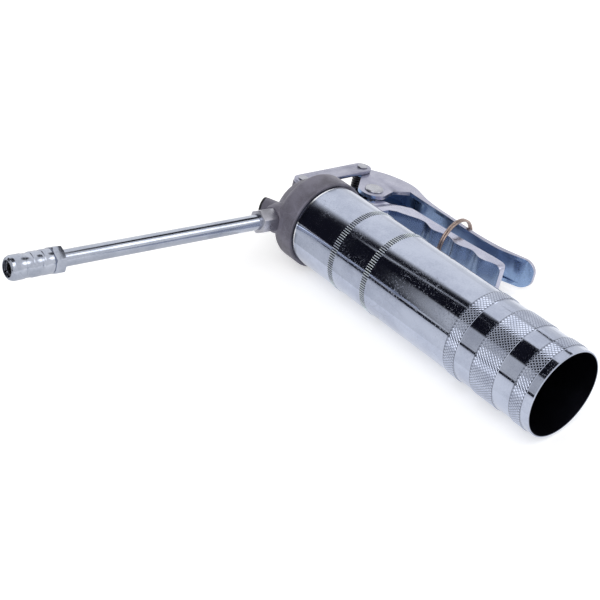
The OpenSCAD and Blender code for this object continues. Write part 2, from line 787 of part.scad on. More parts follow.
module handle_plan(inset) {
    tip = handle_len;
    corner = 4;
    upper = concat(
        [[-40, handle_neck - inset], [-2.5, handle_neck - inset], [14, handle_half - inset]],
        arc([tip - corner, handle_half - inset - corner], corner, 90, 0, 6)
    );
    polygon(concat(upper, [for (i = [len(upper) - 1:-1:0]) [upper[i][0], -upper[i][1]]]));
}

module fixed_handle() {
    reach = 2 * lever_back;
    color([0.7, 0.72, 0.76]) lay_down() difference() {
        intersection() {
            linear_extrude(4 * grip_half, center = true) handle_side(0);
            rotate([-90, 0, 0]) linear_extrude(reach) handle_plan(0);
        }
        intersection() {
            linear_extrude(4 * grip_half, center = true) handle_side(handle_t);
            rotate([-90, 0, 0]) linear_extrude(reach) handle_plan(handle_t);
        }
        for (at = rivet_at) cross_pin(at, rivet_r + fit, 2 * handle_neck);
    }
}

module handle_rivets() {
    head = 0.45;
    color([0.5, 0.5, 0.52]) lay_down() for (at = rivet_at) {
        cross_pin(at, rivet_r, handle_neck + 0.1);
        for (side = [-1, 1]) translate([at[0], at[1], side * (handle_neck + fit + head / 2)])
            cylinder(r = rivet_r + 0.7, h = head, center = true, $fn = small_fn);
    }
}

// The ring holds the lever to the fixed handle: two turns of wire, side by side
module lock_ring() {
    color([0.5, 0.38, 0.32]) lay_down() translate([ring_at, ring_mid, ring_side]) rotate([0, 0, -ring_lean])
        rotate([0, 90, 0]) for (side = [-1, 1]) translate([0, 0, side * (ring_wire * 0.98)])
            rotate_extrude($fn = round_fn) translate([ring_r + ring_wire, 0]) circle(r = ring_wire, $fn = 24);
}

barrel_tube();
head_casting();
cartridge_gasket();
vent_plug();
plunger();
plunger_gland();
plunger_seal();
outlet_valve_ball();
outlet_valve_spring();
pipe_locknut();
delivery_pipe();
coupler_base();
coupler_sleeve();
coupler_jaws();
coupler_seal();
coupler_spring();
lever();
link_plate_near();
link_plate_far();
link_head_pin();
link_lever_pin();
plunger_pin();
plunger_pin_clip();
return_spring();
fixed_handle();
handle_rivets();
lock_ring();
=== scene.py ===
"""Looks of the lever grease applicator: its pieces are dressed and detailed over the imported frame."""

import json
import math

import bmesh
import bpy
from mathutils import Matrix, Vector

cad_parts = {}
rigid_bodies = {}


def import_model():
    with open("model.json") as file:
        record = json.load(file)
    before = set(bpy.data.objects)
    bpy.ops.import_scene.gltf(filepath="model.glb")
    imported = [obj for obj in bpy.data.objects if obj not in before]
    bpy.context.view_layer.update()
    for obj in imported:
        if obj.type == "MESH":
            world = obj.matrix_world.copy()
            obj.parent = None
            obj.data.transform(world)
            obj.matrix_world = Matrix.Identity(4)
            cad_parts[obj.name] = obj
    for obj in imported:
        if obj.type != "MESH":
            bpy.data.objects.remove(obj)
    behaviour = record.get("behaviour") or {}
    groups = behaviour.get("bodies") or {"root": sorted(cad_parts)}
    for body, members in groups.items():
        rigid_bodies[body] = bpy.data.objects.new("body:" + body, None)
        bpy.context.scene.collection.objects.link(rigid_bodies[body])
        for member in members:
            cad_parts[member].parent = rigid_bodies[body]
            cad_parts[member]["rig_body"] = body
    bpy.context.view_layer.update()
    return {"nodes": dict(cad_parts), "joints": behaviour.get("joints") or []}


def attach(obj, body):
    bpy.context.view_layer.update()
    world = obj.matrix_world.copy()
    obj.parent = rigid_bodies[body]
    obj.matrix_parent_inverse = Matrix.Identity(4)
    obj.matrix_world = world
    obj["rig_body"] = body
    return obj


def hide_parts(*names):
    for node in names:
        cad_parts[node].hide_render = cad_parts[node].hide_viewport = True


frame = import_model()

bl_info = {
    "name": "Lever grease applicator",
    "version": (1, 0, 0),
    "blender": (4, 5, 0),
    "location": "View3D > Sidebar > Grease gun",
    "description": "Builds the visual model of a one-hand lever grease applicator over its frame",
    "category": "Object",
}

# The photograph's width and its camera's focal length in pixels, and the sensor's width in millimetres
PHOTO_SIZE = 600
PHOTO_FOCAL = 1342.0
SENSOR_WIDTH = 36.0

# Places and sizes in the gun's own axes, in metres, with x 0 at the open edge of the head's skirt
LINK_FOOT = (-0.043, 0.0137, 0.0)
FRONT_PIN = (-0.0457, 0.0698, 0.0)
BARREL_RADIUS = 0.028
KNURL_ROOT = 0.02827
# Name, middle along the barrel and width of each knurled band
KNURLED_BANDS = (
    ("knurl_front", 0.1435, 0.009),
    ("knurl_wide", 0.1695, 0.018),
    ("knurl_back", 0.1955, 0.009),
)
# Name and start along the barrel of each ring of rolled ticks
TICK_RINGS = (("ticks_front", 0.0355), ("ticks_back", 0.0655))

# Where the barrel's look changes: along it by the skirt, with darker patches, painted shade of the gap at
# the skirt's edge and a painted highlight of the skirt's lip; and by radius between its skin and its inside
# Darker patches by the skirt
SKIRT_PATCH_SPAN = (0.0008, 0.006)
# Painted shade of the gap at the skirt's edge
GAP_SHADE_SPAN = (0.0007, 0.0012)
# Painted highlight: a bright ring for the skirt's lip
LIP_HIGHLIGHT_SPAN = (0.0013, 0.0021)
WALL_SPAN = (0.0274, 0.0270)

# Share of a knurl diamond's full height that its flat top cuts off
KNURL_FLAT = 0.62
# Edges that bend by less than this are shaded smooth
SMOOTH_ANGLE = math.radians(38)

# How much the drawn lines are squeezed along each axis of the gun; the lines run along the small one
ALONG_BARREL = (60.0, 1500.0, 1500.0)
ALONG_PLUNGER = (1500.0, 60.0, 1500.0)

# What is added where the camera or a mirror looks at the floor, and the light of the sky on the object
FLOOR_GLOW = 0.42
SKY_LIGHT = 0.62


# The gun's own axes


def gun_to_row():
    """Matrix from the gun's axes (x along the barrel, y towards the lever) to the row frame, in metres."""
    swing = next(j for j in frame["joints"] if j["name"] == "link_swing")
    axis = Vector(swing["axis"])
    turn = Matrix.Rotation(-math.atan2(axis.y, axis.z), 4, "X")
    return Matrix.Translation(Vector(swing["pos_m"]) - turn @ Vector(LINK_FOOT)) @ turn


GUN = gun_to_row()
GUN_BACK = GUN.inverted()


# What a user would change


def colour(name, description, default):
    """A colour setting."""
    return bpy.props.FloatVectorProperty(
        name=name, description=description, default=default, size=3, min=0, max=1, subtype="COLOR"
    )


def length(name, description, default):
    """A length setting in metres."""
    return bpy.props.FloatProperty(
        name=name, description=description, default=default, min=0, unit="LENGTH", precision=5
    )


class GunSizes(bpy.types.PropertyGroup):
    """Sizes of the details that are added over the frame."""

    knurl_cells: bpy.props.IntProperty(
        name="Knurl cells",
        description="Cells round each knurled band, an even number",
        default=172,
        min=60,
        max=360,
    )
    knurl_pitch: length("Knurl pitch", "Length of one knurl cell along the barrel", 0.00122)
    knurl_height: length("Knurl height", "How far the knurl's diamonds stand out", 0.0002)
    tick_count: bpy.props.IntProperty(
        name="Ticks", description="Rolled ticks, painted highlight in each ring round the barrel", default=112, min=20, max=200
    )
    tick_length: length("Tick length", "Length of one tick along the barrel", 0.0045)
    tick_width: length("Tick width", "Width of one tick round the barrel", 0.0006)
    tick_height: length("Tick height", "How far a tick stands out", 0.00025)
    bend_radius: length("Bend radius", "Outside radius of the bends in the pressed sheet", 0.0021)
    rim_radius: length("Rim radius", "Rounding of the sheet's cut edges", 0.0005)
    cast_radius: length("Cast radius", "Rounding of the casting's edges", 0.0007)
    turned_radius: length("Turned radius", "Rounding of turned and milled edges", 0.00022)
    spring_wire: length("Spring wire", "Radius of the return spring's wire", 0.00085)
    spring_coil: length("Spring coil", "Mean radius of the return spring's coil", 0.0043)


class GunColours(bpy.types.PropertyGroup):
    """Colours of the finishes."""

    zinc: colour("Barrel plate", "Bright plate on the barrel", (0.47, 0.51, 0.62))
    zinc_shade: colour("Barrel plate, dull", "Duller patches of that plate", (0.37, 0.405, 0.51))
    barrel_inside: colour("Barrel inside", "Near-black inside of the barrel", (0.022, 0.022, 0.034))
    casting: colour("Casting", "Skin of the head casting", (0.172, 0.164, 0.212))
    casting_dark: colour("Casting, dark", "Darker patches of that skin", (0.108, 0.102, 0.130))
    sheet: colour("Sheet", "Plate on the lever and the links", (0.45, 0.455, 0.55))
    sheet_shade: colour("Sheet, dull", "Duller patches of that plate", (0.34, 0.345, 0.44))
    # Painted reflection: a bluer colour for the lever's faces that look towards the barrel and into its
    # channel
    lever_web_reflection: colour("Lever web", "Plate inside the lever's channel, painted with a reflection", (0.31, 0.44, 0.68))
    handle: colour("Handle", "Plate on the fixed handle", (0.50, 0.51, 0.62))
    handle_shade: colour("Handle, dull", "Duller patches of that plate", (0.38, 0.39, 0.51))
    # Painted reflection: a bluer colour for the handle's faces that look towards the barrel
    handle_web_reflection: colour("Handle web", "Plate over the finger grooves, painted with a reflection", (0.31, 0.41, 0.60))
    bright: colour("Bright steel", "Pipe and coupler", (0.46, 0.49, 0.57))
    bright_shade: colour("Bright steel, dull", "Duller patches of the pipe and coupler", (0.35, 0.38, 0.46))
    nut: colour("Nut", "Zinc plate on the locknut", (0.52, 0.52, 0.58))
    ground: colour("Ground steel", "Plunger, pins and rivets", (0.46, 0.47, 0.52))
    black_steel: colour("Black steel", "Return spring, plug and clip", (0.024, 0.024, 0.027))
    browned: colour("Browned wire", "Lock ring", (0.40, 0.31, 0.28))
    rubber: colour("Rubber", "Seals and gasket", (0.018, 0.018, 0.018))


# Shader building blocks


def wire_up(tree, source, target):
    """Joins an output to an input."""
    tree.links.new(source, target)


def add_node(tree, kind, **settings):
    """A new node with its settings."""
    node = tree.nodes.new(kind)
    for key, value in settings.items():
        setattr(node, key, value)
    return node


def new_group(name, inputs, outputs):
    """An empty shader group with its sockets, and its input and output nodes."""
    tree = bpy.data.node_groups.new(name, "ShaderNodeTree")
    kinds = {"colour": "NodeSocketColor", "number": "NodeSocketFloat", "vector": "NodeSocketVector"}
    for label, kind, default in inputs:
        socket = tree.interface.new_socket(label, in_out="INPUT", socket_type=kinds[kind])
        if default is not None:
            socket.default_value = default
    for label, kind in outputs:
        tree.interface.new_socket(label, in_out="OUTPUT", socket_type=kinds[kind])
    return tree, add_node(tree, "NodeGroupInput"), add_node(tree, "NodeGroupOutput")


def noise(tree, vector, scale, detail=2.0, roughness=0.5):
    """A noise texture read at a vector; scale is a number or an output."""
    node = add_node(tree, "ShaderNodeTexNoise")
    wire_up(tree, vector, node.inputs["Vector"])
    if isinstance(scale, (int, float)):
        node.inputs["Scale"].default_value = scale
    else:
        wire_up(tree, scale, node.inputs["Scale"])
    node.inputs["Detail"].default_value = detail
    node.inputs["Roughness"].default_value = roughness
    return node.outputs["Fac"]


def spread(tree, value, low, high, to_low=0.0, to_high=1.0, smooth=False):
    """Maps a value from one range to another; the new range's ends may be outputs."""
    node = add_node(tree, "ShaderNodeMapRange", interpolation_type="SMOOTHSTEP" if smooth else "LINEAR")
    wire_up(tree, value, node.inputs["Value"])
    node.inputs["From Min"].default_value = low
    node.inputs["From Max"].default_value = high
    for end, name in ((to_low, "To Min"), (to_high, "To Max")):
        if isinstance(end, (int, float)):
            node.inputs[name].default_value = end
        else:
            wire_up(tree, end, node.inputs[name])
    return node.outputs["Result"]


def maths(tree, operation, first, second=None):
    """A Math node on outputs or numbers."""
    node = add_node(tree, "ShaderNodeMath", operation=operation)
    for index, value in enumerate((first, second)):
        if value is None:
            continue
        if isinstance(value, (int, float)):
            node.inputs[index].default_value = value
        else:
            wire_up(tree, value, node.inputs[index])
    return node.outputs["Value"]


def raised(tree, value, mask, amount):
    """A value raised by an amount where a mask is 1."""
    return maths(tree, "ADD", value, maths(tree, "MULTIPLY", mask, amount))


def between(tree, value, low, high, soft=0.0001):
    """1 where a value lies between two limits, else 0."""
    rising = spread(tree, value, low - soft, low)
    falling = spread(tree, value, high, high + soft, 1.0, 0.0)
    return maths(tree, "MULTIPLY", rising, falling)


def seen_directly(tree):
    """1 for what the camera sees, also in a mirror or through glass, and 0 for light on the object."""
    path = add_node(tree, "ShaderNodeLightPath")
    seen = maths(tree, "MAXIMUM", path.outputs["Is Camera Ray"], path.outputs["Is Glossy Ray"])
    return maths(tree, "MAXIMUM", seen, path.outputs["Is Transmission Ray"])


def blend_colours(tree, factor, first, second):
    """A colour mix of two outputs or plain colours."""
    node = add_node(tree, "ShaderNodeMix", data_type="RGBA")
    wire_up(tree, factor, node.inputs[0])
    for index, value in ((6, first), (7, second)):
        if isinstance(value, (tuple, list)):
            node.inputs[index].default_value = value
        else:
            wire_up(tree, value, node.inputs[index])
    return node.outputs[2]


def mottle_group():
    """Plate or skin that varies softly in colour and gloss, with specks of wear."""
    tree, come, go = new_group(
        "Mottled skin",
        [
            ("Colour", "colour", (0.5, 0.5, 0.5, 1)),
            ("Dull Colour", "colour", (0.4, 0.4, 0.4, 1)),
            ("Patch Scale", "number", 60.0),
            ("Speck Scale", "number", 900.0),
            ("Gloss Low", "number", 0.2),
            ("Gloss High", "number", 0.35),
        ],
        [("Colour", "colour"), ("Roughness", "number"), ("Height", "number")],
    )
    place = add_node(tree, "ShaderNodeTexCoord").outputs["Object"]
    patches = noise(tree, place, come.outputs["Patch Scale"], 4.0, 0.6)
    specks = noise(tree, place, come.outputs["Speck Scale"], 2.0, 0.5)
    mix = maths(tree, "ADD", maths(tree, "MULTIPLY", patches, 0.75), maths(tree, "MULTIPLY", specks, 0.25))
    share = spread(tree, mix, 0.36, 0.66, smooth=True)
    wire_up(
        tree,
        blend_colours(tree, share, come.outputs["Colour"], come.outputs["Dull Colour"]),
        go.inputs["Colour"],
    )
    wire_up(
        tree,
        spread(tree, mix, 0.35, 0.68, come.outputs["Gloss Low"], come.outputs["Gloss High"]),
        go.inputs["Roughness"],
    )
    wire_up(tree, specks, go.inputs["Height"])
    return tree


def drawn_group():
    """Fine lines left by drawing, rolling or grinding along one direction of the gun."""
    tree, come, go = new_group(
        "Drawn lines",
        [("Stretch", "vector", ALONG_BARREL), ("Turn", "vector", (0.0, 0.0, 0.0))],
        [("Height", "number"), ("Mask", "number")],
    )
    place = add_node(tree, "ShaderNodeTexCoord").outputs["Object"]
    turn = add_node(tree, "ShaderNodeVectorRotate", rotation_type="EULER_XYZ")
    wire_up(tree, place, turn.inputs["Vector"])
    wire_up(tree, come.outputs["Turn"], turn.inputs["Rotation"])
    stretch = add_node(tree, "ShaderNodeVectorMath", operation="MULTIPLY")
    wire_up(tree, turn.outputs["Vector"], stretch.inputs[0])
    wire_up(tree, come.outputs["Stretch"], stretch.inputs[1])
    lines = noise(tree, stretch.outputs["Vector"], 1.0, 3.0, 0.6)
    wire_up(tree, lines, go.inputs["Height"])
    wire_up(tree, spread(tree, lines, 0.58, 0.75), go.inputs["Mask"])
    return tree


def scuff_group():
    """Sparse short scratches and rubbed spots from use."""
    tree, come, go = new_group(
        "Scuffs", [("Scale", "number", 40.0), ("Amount", "number", 0.5)], [("Mask", "number")]
    )
    place = add_node(tree, "ShaderNodeTexCoord").outputs["Object"]
    warp = add_node(tree, "ShaderNodeVectorMath", operation="MULTIPLY")
    wire_up(tree, place, warp.inputs[0])
    warp.inputs[1].default_value = (1.0, 5.0, 3.0)
    cells = add_node(tree, "ShaderNodeTexVoronoi", feature="DISTANCE_TO_EDGE")
    wire_up(tree, warp.outputs["Vector"], cells.inputs["Vector"])
    wire_up(tree, come.outputs["Scale"], cells.inputs["Scale"])
    thin = spread(tree, cells.outputs["Distance"], 0.0, 0.03, 1.0, 0.0)
    where = spread(tree, noise(tree, place, 35.0, 2.0), 0.5, 0.66)
    wire_up(
        tree,
        maths(tree, "MULTIPLY", maths(tree, "MULTIPLY", thin, where), come.outputs["Amount"]),
        go.inputs["Mask"],
    )
    return tree


def place_group():
    """Where a point lies in the gun's own axes: along the barrel, from its axis and round it."""
    tree, _, go = new_group(
        "Gun place", [], [("Along", "number"), ("Radius", "number"), ("Angle", "number")]
    )
    place = add_node(tree, "ShaderNodeTexCoord").outputs["Object"]
    turn = add_node(tree, "ShaderNodeMapping", vector_type="TEXTURE")
    wire_up(tree, place, turn.inputs["Vector"])
    turn.inputs["Location"].default_value = GUN.translation
    turn.inputs["Rotation"].default_value = GUN.to_euler()
    split = add_node(tree, "ShaderNodeSeparateXYZ")
    wire_up(tree, turn.outputs["Vector"], split.inputs["Vector"])
    squares = [maths(tree, "POWER", split.outputs[axis], 2.0) for axis in "YZ"]
    wire_up(tree, split.outputs["X"], go.inputs["Along"])
    wire_up(tree, maths(tree, "SQRT", maths(tree, "ADD", *squares)), go.inputs["Radius"])
    wire_up(tree, maths(tree, "ARCTAN2", split.outputs["Z"], split.outputs["Y"]), go.inputs["Angle"])
    return tree


def tick_band(tree, along, start, half):
    """1 over a ring of ticks that starts at a place along the barrel; half is half a tick's length."""
    off_middle = maths(tree, "SUBTRACT", maths(tree, "SUBTRACT", along, start), half)
    past_end = maths(tree, "SUBTRACT", maths(tree, "ABSOLUTE", off_middle), half)
    return spread(tree, past_end, -0.0001, 0.0, 1.0, 0.0)


def barrel_group():
    """Masks of the barrel: inside, rolling lines, darker patches by the skirt with painted shade of the gap
    at its edge, painted shade between the ticks, a painted highlight of the skirt's lip, and specks.
    """
    tree, come, go = new_group(
        "Barrel regions",
        [("Ticks", "number", 112.0), ("Tick Length", "number", 0.0045)],
        [
            ("Inside", "number"),
            ("Lines", "number"),
            ("Skirt Patches And Gap Shade", "number"),
            ("Tick Gap Shade", "number"),
            ("Lip Highlight", "number"),
            ("Specks", "number"),
        ],
    )
    place = add_node(tree, "ShaderNodeTexCoord").outputs["Object"]
    gun = use_group(tree, "Gun place")
    along, angle = gun.outputs["Along"], gun.outputs["Angle"]
    wire_up(tree, spread(tree, gun.outputs["Radius"], *WALL_SPAN), go.inputs["Inside"])
    around = add_node(tree, "ShaderNodeCombineXYZ")
    wire_up(tree, maths(tree, "MULTIPLY", along, 25.0), around.inputs["X"])
    wire_up(tree, maths(tree, "MULTIPLY", angle, 16.0), around.inputs["Y"])
    wire_up(tree, noise(tree, around.outputs["Vector"], 3.0, 5.0, 0.6), go.inputs["Lines"])
    # Darker patches by the skirt, and painted shade of the gap at the skirt's edge
    by_skirt = spread(tree, along, *SKIRT_PATCH_SPAN, 1.0, 0.0, smooth=True)
    skirt_patches = maths(tree, "MULTIPLY", by_skirt, spread(tree, noise(tree, place, 220.0, 3.0), 0.4, 0.6))
    gap_shade = spread(tree, along, *GAP_SHADE_SPAN, 1.0, 0.0)
    wire_up(tree, maths(tree, "MAXIMUM", skirt_patches, gap_shade), go.inputs["Skirt Patches And Gap Shade"])
    # Painted highlight: a bright ring on the barrel for the skirt's lip
    wire_up(tree, between(tree, along, *LIP_HIGHLIGHT_SPAN), go.inputs["Lip Highlight"])
    # Painted shade in the gaps between the ticks
    swing = maths(tree, "COSINE", maths(tree, "MULTIPLY", angle, come.outputs["Ticks"]))
    half = maths(tree, "MULTIPLY", come.outputs["Tick Length"], 0.5)
    rings = maths(tree, "MAXIMUM", *(tick_band(tree, along, start, half) for _, start in TICK_RINGS))
    wire_up(tree, maths(tree, "MULTIPLY", rings, spread(tree, swing, 0.35, -0.25)), go.inputs["Tick Gap Shade"])
    fine = spread(tree, noise(tree, place, 1000.0, 1.0), 0.56, 0.68)
    wire_up(
        tree,
        maths(tree, "MULTIPLY", fine, spread(tree, noise(tree, place, 60.0, 2.0), 0.42, 0.62)),
        go.inputs["Specks"],
    )
    return tree


GROUPS = {}


def use_group(tree, name, **values):
    """A copy of a shared group in a material, with its own values."""
    node = add_node(tree, "ShaderNodeGroup", node_tree=GROUPS[name])
    for key, value in values.items():
        node.inputs[key.replace("_", " ")].default_value = value
    return node


def shade(rgb, factor):
    """A colour setting made darker or paler by a factor."""
    return [min(1.0, channel * factor) for channel in rgb]


def opaque(rgb, factor=1.0):
    """A colour setting as four numbers, made darker or paler by a factor."""
    return (*shade(rgb, factor), 1.0)


def new_material(name):
    """A new material with its node tree and its shader."""
    material = bpy.data.materials.new(name)
    material.use_nodes = True
    return material, material.node_tree, material.node_tree.nodes["Principled BSDF"]


def start_material(name, metallic, strength, depth):
    """A material with its shader and a bump node of some strength and depth in metres."""
    material, tree, shader = new_material(name)
    shader.inputs["Metallic"].default_value = metallic
    bump = add_node(tree, "ShaderNodeBump")
    bump.inputs["Strength"].default_value = strength
    bump.inputs["Distance"].default_value = depth
    wire_up(tree, bump.outputs["Normal"], shader.inputs["Normal"])
    return material, tree, shader, bump


def metal(name, fresh, dull, gloss, patch=60.0, along=ALONG_BARREL, scuffs=0.35, web=None, groove_shade_radii=None):
    """A plated or bare metal: mottled colour and gloss, lines along its length and light scuffs.

    web is a colour for the faces marked as the web, a painted reflection of the barrel. The two knurl radii
    give painted shade in the knurl's grooves: it is dark below the first, and has its own colour above the
    second.
    """
    material, tree, shader, bump = start_material(name, 1.0, 0.35, 0.00001)
    skin = use_group(
        tree,
        "Mottled skin",
        Colour=opaque(fresh),
        Dull_Colour=opaque(dull),
        Patch_Scale=patch,
        Gloss_Low=gloss[0],
        Gloss_High=gloss[1],
    )
    lines = use_group(tree, "Drawn lines", Stretch=along, Turn=(-GUN.to_euler().x, 0.0, 0.0))
    marks = use_group(tree, "Scuffs", Amount=scuffs)
    # Dark colour for scuff marks, and for painted shade in a knurl's grooves
    dark = opaque(dull, 0.55)
    wear_and_painted_light = blend_colours(tree, marks.outputs["Mask"], skin.outputs["Colour"], dark)
    # Painted reflection: faces marked as the web get a bluer colour
    if web is not None:
        marked = add_node(tree, "ShaderNodeAttribute", attribute_name="web")
        painted_web_reflection = blend_colours(tree, skin.outputs["Height"], opaque(web), opaque(web, 0.7))
        wear_and_painted_light = blend_colours(tree, marked.outputs["Fac"], wear_and_painted_light, painted_web_reflection)
    # Painted shade: a knurl is darkened in its grooves, by radius
    if groove_shade_radii is not None:
        gun = use_group(tree, "Gun place")
        low = spread(tree, gun.outputs["Radius"], *groove_shade_radii, 1.0, 0.0)
        wear_and_painted_light = blend_colours(tree, low, wear_and_painted_light, dark)
    wire_up(tree, wear_and_painted_light, shader.inputs["Base Color"])
    rough = raised(tree, skin.outputs["Roughness"], lines.outputs["Mask"], 0.08)
    wire_up(tree, raised(tree, rough, marks.outputs["Mask"], 0.25), shader.inputs["Roughness"])
    wire_up(tree, lines.outputs["Height"], bump.inputs["Height"])
    return material


def casting_skin(colours):
    """The head's matt cast skin: warm grey, grainy, with darker patches and rubbed spots."""
    material, tree, shader, bump = start_material("Matt casting", 0.2, 0.5, 0.00012)
    skin = use_group(
        tree,
        "Mottled skin",
        Colour=opaque(colours.casting),
        Dull_Colour=opaque(colours.casting_dark),
        Patch_Scale=85.0,
        Speck_Scale=1400.0,
        Gloss_Low=0.42,
        Gloss_High=0.6,
    )
    marks = use_group(tree, "Scuffs", Amount=0.3)
    rubbed = blend_colours(
        tree, marks.outputs["Mask"], skin.outputs["Colour"], opaque(colours.casting, 1.7)
    )
    wire_up(tree, rubbed, shader.inputs["Base Color"])
    wire_up(tree, skin.outputs["Roughness"], shader.inputs["Roughness"])
    wire_up(tree, skin.outputs["Height"], bump.inputs["Height"])
    return material


def barrel_plate(colours, sizes):
    """The barrel's bright plate outside, with painted shade and a painted highlight by the skirt and
    painted shade between the ticks, and its near-black wall inside.
    """
    material, tree, shader, bump = start_material("Barrel plate", 1.0, 0.2, 0.00002)
    skin = use_group(
        tree,
        "Mottled skin",
        Colour=opaque(colours.zinc),
        Dull_Colour=opaque(colours.zinc_shade),
        Patch_Scale=45.0,
        Gloss_Low=0.05,
        Gloss_High=0.12,
    )
    regions = use_group(
        tree, "Barrel regions", Ticks=float(sizes.tick_count), Tick_Length=sizes.tick_length
    )
    marks = use_group(tree, "Scuffs", Amount=0.3)
    tint_with_painted_light = skin.outputs["Colour"]
    # Over the plate: dark scuffs, darker patches with painted shade of the gap by the skirt, a painted
    # highlight ring for the skirt's lip, painted shade between the ticks, and the near-black inside
    for mask, over in (
        (marks.outputs["Mask"], opaque(colours.zinc_shade, 0.6)),
        (regions.outputs["Skirt Patches And Gap Shade"], opaque(colours.zinc_shade, 0.35)),
        # Painted highlight of the skirt's lip
        (regions.outputs["Lip Highlight"], (0.9, 0.92, 0.96, 1.0)),
        # Painted shade between the ticks
        (regions.outputs["Tick Gap Shade"], opaque(colours.zinc_shade, 0.18)),
        (regions.outputs["Inside"], opaque(colours.barrel_inside)),
    ):
        tint_with_painted_light = blend_colours(tree, mask, tint_with_painted_light, over)
    wire_up(tree, tint_with_painted_light, shader.inputs["Base Color"])
    rough = raised(tree, skin.outputs["Roughness"], regions.outputs["Inside"], 0.3)
    wire_up(tree, raised(tree, rough, regions.outputs["Specks"], 0.25), shader.inputs["Roughness"])
    wire_up(tree, regions.outputs["Lines"], bump.inputs["Height"])
    return material


def rubber_skin(colours):
    """Black rubber with a fine moulded grain."""
    material, tree, shader, bump = start_material("Black rubber", 0.0, 0.4, 0.00005)
    skin = use_group(
        tree,
        "Mottled skin",
        Colour=opaque(colours.rubber),
        Dull_Colour=opaque(colours.rubber, 1.8),
        Patch_Scale=150.0,
        Speck_Scale=2500.0,
        Gloss_Low=0.5,
        Gloss_High=0.7,
    )
    wire_up(tree, skin.outputs["Colour"], shader.inputs["Base Color"])
    wire_up(tree, skin.outputs["Roughness"], shader.inputs["Roughness"])
    wire_up(tree, skin.outputs["Height"], bump.inputs["Height"])
    return material


def plain_stage(name, rgb, camera_glow):
    """A matt floor that the camera and reflections see lifted towards white."""
    material, tree, shader = new_material(name)
    shader.inputs["Base Color"].default_value = opaque(rgb)
    shader.inputs["Roughness"].default_value = 0.9
    shader.inputs["Emission Color"].default_value = (1, 1, 1, 1)
    glow = maths(tree, "MULTIPLY", seen_directly(tree), camera_glow)
    wire_up(tree, glow, shader.inputs["Emission Strength"])
    return material


# Modelling helpers


def pick_only(obj=None):
    """Selects nothing, or one object, and makes it active."""
    if bpy.context.object and bpy.context.object.mode != "OBJECT":
        bpy.ops.object.mode_set(mode="OBJECT")
    bpy.ops.object.select_all(action="DESELECT")
    if obj is not None:
        obj.select_set(True)
        bpy.context.view_layer.objects.active = obj


def dress(node, material):
    """Gives a CAD node its finish."""
    obj = frame["nodes"].get(node)
    if obj is None:
        raise RuntimeError(f"the frame has no node {node}")
    if not obj.material_slots:
        obj.data.materials.append(material)
    for slot in obj.material_slots:
        slot.material = material


def body_of_node(node):
    """The name of the body that a CAD node rides on."""
    return frame["nodes"][node]["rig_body"]


def own_piece(name, material, body, node=None):
    """Finishes the active object as a piece: named, dressed and riding on its body."""
    obj = bpy.context.object
    obj.name = name
    obj.data.name = name
    obj.data.materials.clear()
    obj.data.materials.append(material)
    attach(obj, body)
    if node is not None:
        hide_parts(node)


def into_row(obj):
    """Moves a mesh that was modelled in the gun's axes into the row frame, object at the origin."""
    pick_only(obj)
    obj.matrix_world = GUN @ obj.matrix_world
    bpy.ops.object.transform_apply(location=True, rotation=True, scale=True)


def picked_copy(node):
    """A merged copy of a CAD node's mesh with its flat faces joined, ready to be finished."""
    pick_only()
    mesh = frame["nodes"][node].data.copy()
    obj = bpy.data.objects.new(node + "_finish", mesh)
    bpy.context.scene.collection.objects.link(obj)
    pick_only(obj)
    if mesh.has_custom_normals:
        bpy.ops.mesh.customdata_custom_splitnormals_clear()
    bpy.ops.object.mode_set(mode="EDIT")
    bpy.ops.mesh.select_all(action="SELECT")
    bpy.ops.mesh.remove_doubles(threshold=0.000002)
    bpy.ops.mesh.dissolve_limited(angle_limit=math.radians(0.4))
    bpy.ops.mesh.select_all(action="DESELECT")
    bpy.ops.object.mode_set(mode="OBJECT")
    return obj


def round_edges(obj, width, segments=2, angle=32.0):
    """Rounds the sharp edges of a piece with a bevel modifier, and shades it by angle."""
    pick_only(obj)
    bevel = obj.modifiers.new("Edges", "BEVEL")
    bevel.width = width
    bevel.segments = segments
    bevel.limit_method = "ANGLE"
    bevel.angle_limit = math.radians(angle)
    bevel.use_clamp_overlap = True
    bevel.miter_outer = "MITER_ARC"
    bpy.ops.object.modifier_apply(modifier=bevel.name)
    bpy.ops.object.shade_smooth_by_angle(angle=SMOOTH_ANGLE)


def bend_edges(obj, radius, outward):
    """Rounds the long bends of a pressed sheet: edges between a cheek and the web's outer face.

    outward is 1 where that face looks along the gun's y and -1 where it looks the other way.
    """
    pick_only(obj)
    bpy.ops.object.mode_set(mode="EDIT")
    bpy.ops.mesh.select_mode(type="EDGE")
    bpy.ops.mesh.select_all(action="DESELECT")
    shape = bmesh.from_edit_mesh(obj.data)
    turn = GUN_BACK.to_3x3()
    for edge in shape.edges:
        if len(edge.link_faces) != 2:
            continue
        first, second = (turn @ face.normal for face in edge.link_faces)
        if abs(first.z) < abs(second.z):
            first, second = second, first
        middle = GUN_BACK @ ((edge.verts[0].co + edge.verts[1].co) / 2)
        if abs(first.z) > 0.9 and first.z * middle.z > 0 and second.y * outward > 0.25:
            edge.select_set(True)
    bmesh.update_edit_mesh(obj.data)
    bpy.ops.mesh.bevel(offset=radius, offset_type="OFFSET", segments=5, affect="EDGES", clamp_overlap=True)
    bpy.ops.mesh.select_all(action="DESELECT")
    bpy.ops.object.mode_set(mode="OBJECT")


def mark_web(obj):
    """Marks the faces of a pressed sheet that look towards the barrel or into its channel.

    The sheet's finish reads the mark as the attribute "web", and paints those faces bluer: a painted
    reflection.
    """
    marks = obj.data.attributes.new("web", "FLOAT", "FACE")
    turn = GUN_BACK.to_3x3()
    for face in obj.data.polygons:
        normal = turn @ face.normal
        middle = GUN_BACK @ face.center
        inner = normal.z * middle.z < 0 and abs(normal.z) > 0.7
        marks.data[face.index].value = 1.0 if normal.y < -0.5 or inner else 0.0


